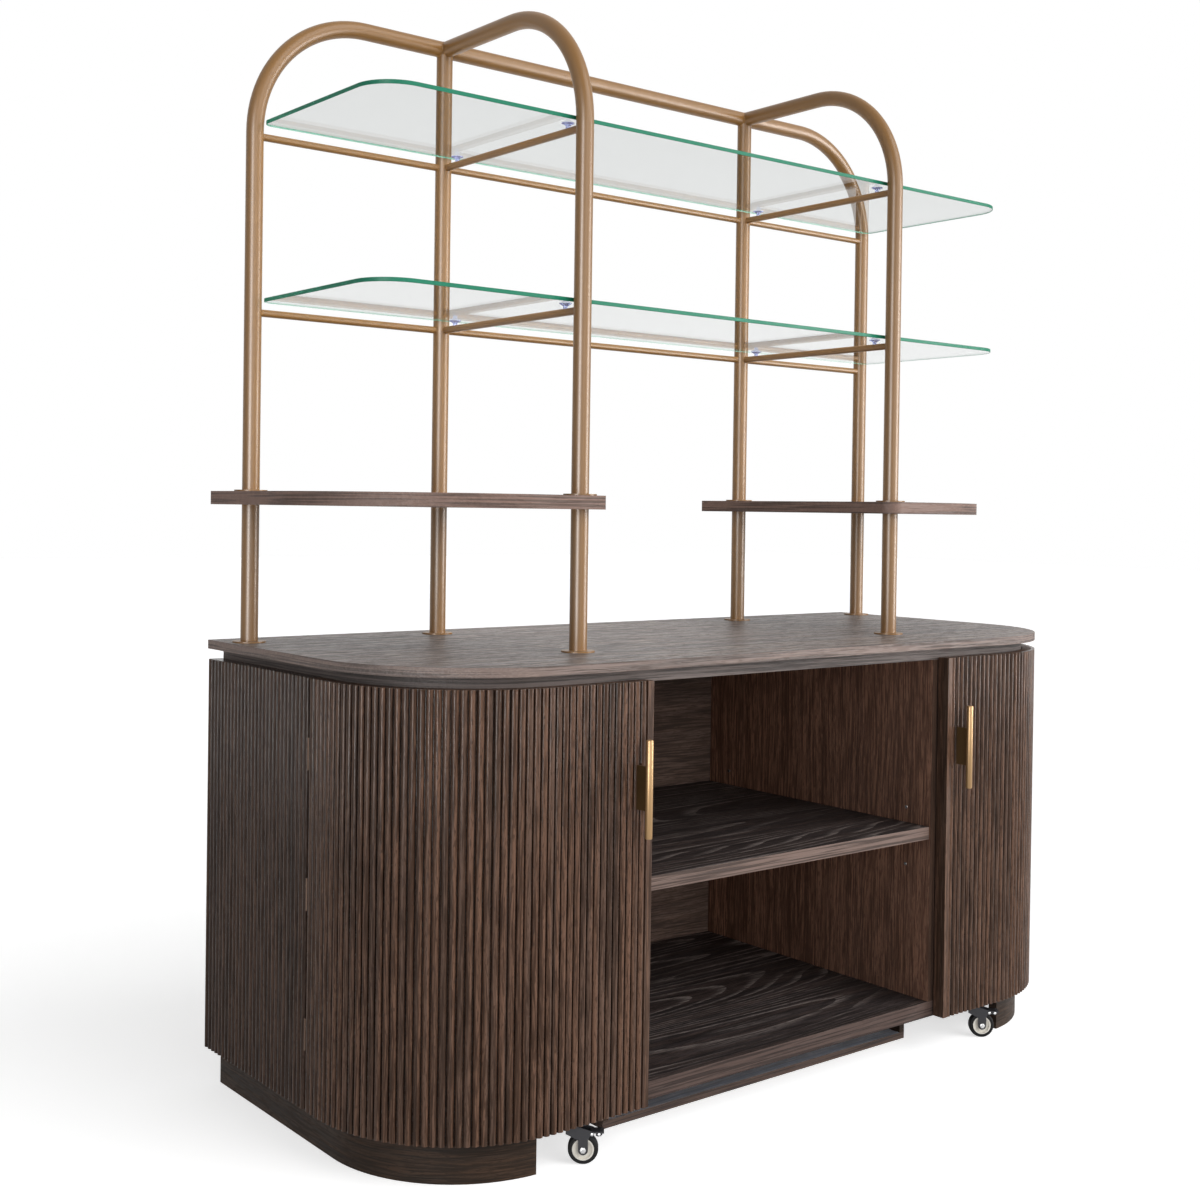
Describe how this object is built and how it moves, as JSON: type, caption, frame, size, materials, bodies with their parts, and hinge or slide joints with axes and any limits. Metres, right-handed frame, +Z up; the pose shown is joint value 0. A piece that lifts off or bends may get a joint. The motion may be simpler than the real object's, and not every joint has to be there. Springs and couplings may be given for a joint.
{
  "type": "bar cabinet with hutch",
  "caption": "Free-standing bar cabinet: reeded dark oak base with curved doors on casters, open middle bay, and a bronze tube hutch with wood and glass shelves.",
  "frame": {"origin": "on the floor under the middle of the worktop, on the underside of the toe box", "axes": "+Z up, doors and open bay face -Y, +X to the right of someone facing it"},
  "size_m": [1.9, 0.839, 2.2115],
  "materials": {
    "worktop_oak": "satin",
    "carcass_oak": "satin",
    "reeded_oak": "satin",
    "bronze_tube": "satin",
    "handle_gold": "brushed",
    "handle_bronze": "satin",
    "shelf_glass": "polished",
    "clear_cup": "gloss",
    "zinc_steel": "satin",
    "caster_black": "satin",
    "caster_tyre": "matte",
    "caster_hub": "satin"
  },
  "bodies": {
    "cabinet": {"worktop": "worktop_oak", "left_side_shelf": "worktop_oak", "right_side_shelf": "worktop_oak", "subtop": "carcass_oak", "bottom_board": "carcass_oak", "left_partition": "carcass_oak", "right_partition": "carcass_oak", "left_end_board": "carcass_oak", "right_end_board": "carcass_oak", "back_panel": "carcass_oak", "middle_shelf": "carcass_oak", "end_shelves": "carcass_oak", "rear_plinth": "carcass_oak", "toe_box_floor": "carcass_oak", "toe_box_cheeks": "carcass_oak", "left_plinth": "carcass_oak", "right_plinth": "carcass_oak", "left_side_panel": "reeded_oak", "right_side_panel": "reeded_oak", "left_side_reeding": "reeded_oak", "right_side_reeding": "reeded_oak", "lower_posts": "bronze_tube", "rosettes": "bronze_tube", "left_end_tube": "bronze_tube", "right_end_tube": "bronze_tube", "top_rail": "bronze_tube", "left_front_arch": "bronze_tube", "right_front_arch": "bronze_tube", "left_inner_post": "bronze_tube", "right_inner_post": "bronze_tube", "shelf_rails": "bronze_tube", "lower_glass_shelf": "shelf_glass", "upper_glass_shelf": "shelf_glass", "suction_cups": "clear_cup", "shelf_pins": "zinc_steel", "hinge_jamb_leaves": "zinc_steel", "hinge_pins": "zinc_steel", "post_studs": "zinc_steel"},
    "left_door": {"left_door": "reeded_oak", "left_door_reeding": "reeded_oak", "left_handle_bar": "handle_gold", "left_handle_blade": "handle_bronze", "left_door_leaves": "zinc_steel", "left_caster_plate": "caster_black"},
    "left_caster_fork": {"left_caster_fork": "caster_black", "left_caster_axle": "zinc_steel"},
    "left_caster_wheel": {"left_caster_tyre": "caster_tyre", "left_caster_hub": "caster_hub"},
    "left_caster_pedal": {"left_caster_pedal": "caster_black"},
    "right_door": {"right_door": "reeded_oak", "right_door_reeding": "reeded_oak", "right_handle_bar": "handle_gold", "right_handle_blade": "handle_bronze", "right_door_leaves": "zinc_steel", "right_caster_plate": "caster_black"},
    "right_caster_fork": {"right_caster_fork": "caster_black", "right_caster_axle": "zinc_steel"},
    "right_caster_wheel": {"right_caster_tyre": "caster_tyre", "right_caster_hub": "caster_hub"},
    "right_caster_pedal": {"right_caster_pedal": "caster_black"}
  },
  "joints": [
    {"name": "left_door_swing", "type": "hinge", "parent": "cabinet", "child": "left_door", "pos_m": [-0.947, -0.032, 0.4765], "axis": [0, 0, -1], "range_deg": [0, 105]},
    {"name": "left_caster_swivel", "type": "hinge", "parent": "left_door", "child": "left_caster_fork", "pos_m": [-0.578, -0.366, 0.07], "axis": [0, 0, 1], "continuous": true},
    {"name": "left_wheel_spin", "type": "hinge", "parent": "left_caster_fork", "child": "left_caster_wheel", "pos_m": [-0.56395, -0.37725, 0.028], "axis": [0.6252, 0.7804, 0], "continuous": true},
    {"name": "left_brake_press", "type": "hinge", "parent": "left_caster_fork", "child": "left_caster_pedal", "pos_m": [-0.55146, -0.38726, 0.057], "axis": [0.6252, 0.7804, 0], "range_deg": [0, 18]},
    {"name": "right_door_swing", "type": "hinge", "parent": "cabinet", "child": "right_door", "pos_m": [0.947, -0.032, 0.4765], "axis": [0, 0, 1], "range_deg": [0, 105]},
    {"name": "right_caster_swivel", "type": "hinge", "parent": "right_door", "child": "right_caster_fork", "pos_m": [0.578, -0.366, 0.07], "axis": [0, 0, 1], "continuous": true},
    {"name": "right_wheel_spin", "type": "hinge", "parent": "right_caster_fork", "child": "right_caster_wheel", "pos_m": [0.59205, -0.37725, 0.028], "axis": [0.6252, 0.7804, 0], "continuous": true},
    {"name": "right_brake_press", "type": "hinge", "parent": "right_caster_fork", "child": "right_caster_pedal", "pos_m": [0.60454, -0.38726, 0.057], "axis": [0.6252, 0.7804, 0], "range_deg": [0, 18]}
  ]
}
